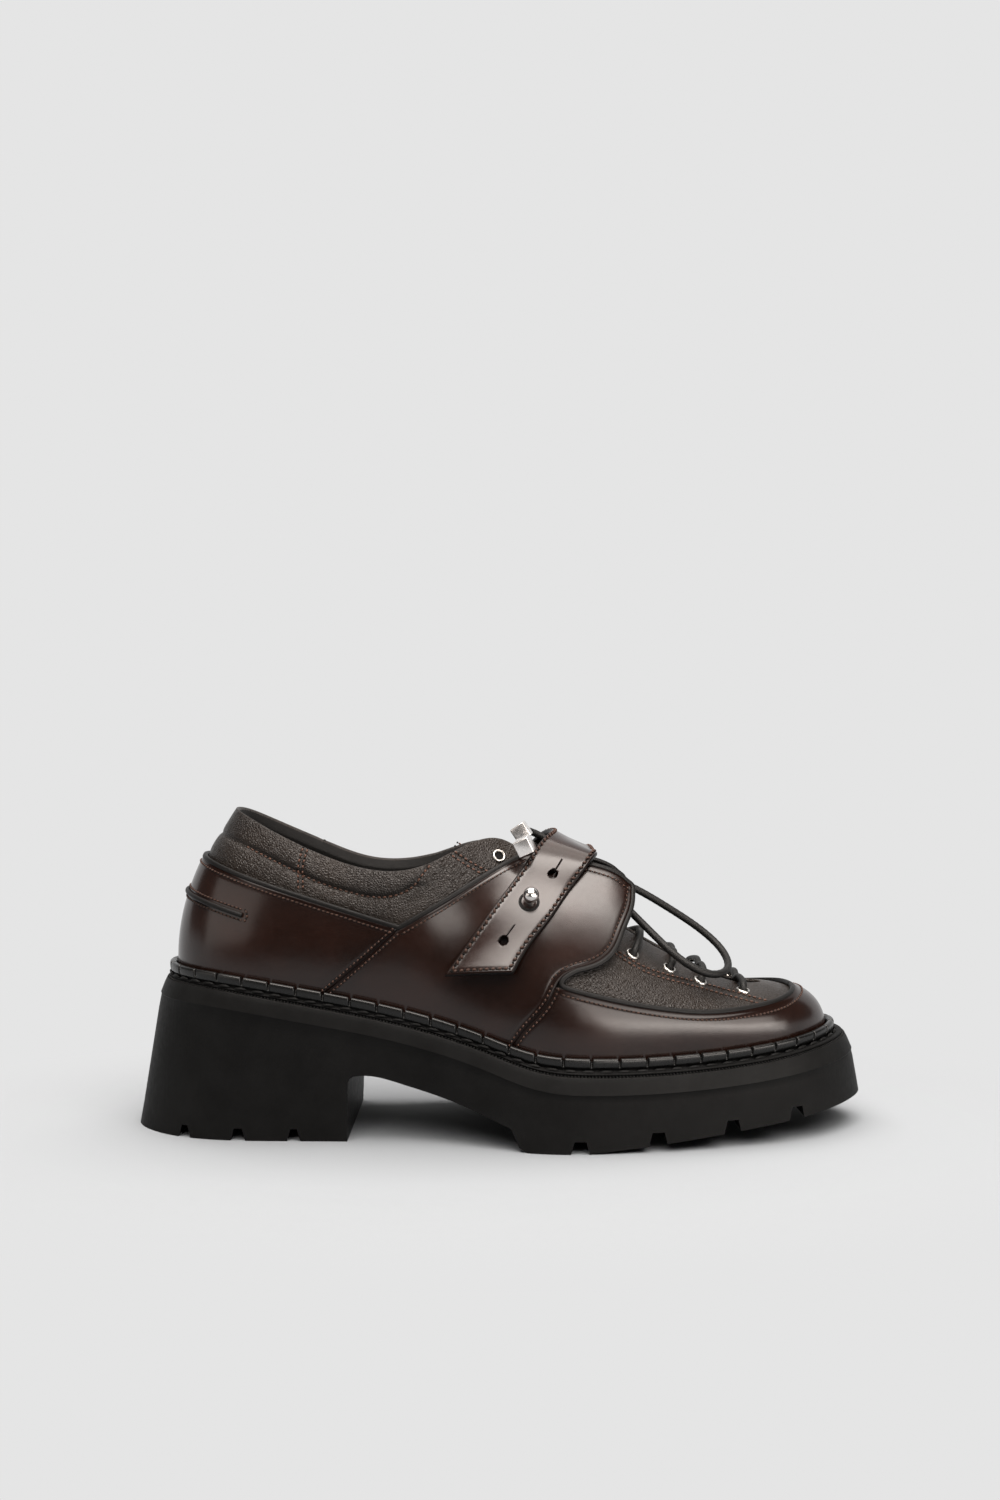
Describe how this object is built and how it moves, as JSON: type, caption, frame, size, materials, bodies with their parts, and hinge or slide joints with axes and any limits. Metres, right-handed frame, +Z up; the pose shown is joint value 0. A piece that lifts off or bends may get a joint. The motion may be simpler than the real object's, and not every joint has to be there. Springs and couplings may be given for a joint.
{
  "type": "creeper shoe",
  "caption": "Low right creeper shoe on a lugged platform sole with block heel: hollow leather upper, strap with ball stud, laced vamp and an elastic loop with metal ends.",
  "frame": {"origin": "on the floor, under the middle of the shoe's plan", "axes": "+X to the toe, +Y to the medial (inner) side, +Z up"},
  "size_m": [0.2845, 0.0958, 0.124],
  "materials": {
    "rubber": "matte",
    "black_leather": "soft grain",
    "brown_leather": "polished",
    "lining": "matte",
    "elastic": "woven",
    "metal": "polished"
  },
  "bodies": {
    "root": {"outsole": "rubber", "welt": "rubber", "insole": "lining", "upper": "black_leather", "tongue": "black_leather", "counter": "brown_leather", "quarter_lateral": "brown_leather", "quarter_medial": "brown_leather", "mudguard": "brown_leather", "piping_collar": "black_leather", "piping_apron": "black_leather", "heel_loop": "black_leather", "strap": "brown_leather", "stud": "metal", "eyelet_lateral_1": "metal", "eyelet_lateral_2": "metal", "eyelet_lateral_3": "metal", "eyelet_lateral_4": "metal", "eyelet_lateral_ear": "metal", "eyelet_medial_1": "metal", "eyelet_medial_2": "metal", "eyelet_medial_3": "metal", "eyelet_medial_4": "metal", "eyelet_medial_ear": "metal", "lace_bar_1": "elastic", "lace_bar_2": "elastic", "lace_bar_3": "elastic", "lace_bar_4": "elastic", "cord_loop": "elastic", "cord_end_near": "metal", "cord_end_far": "metal"}
  },
  "joints": []
}
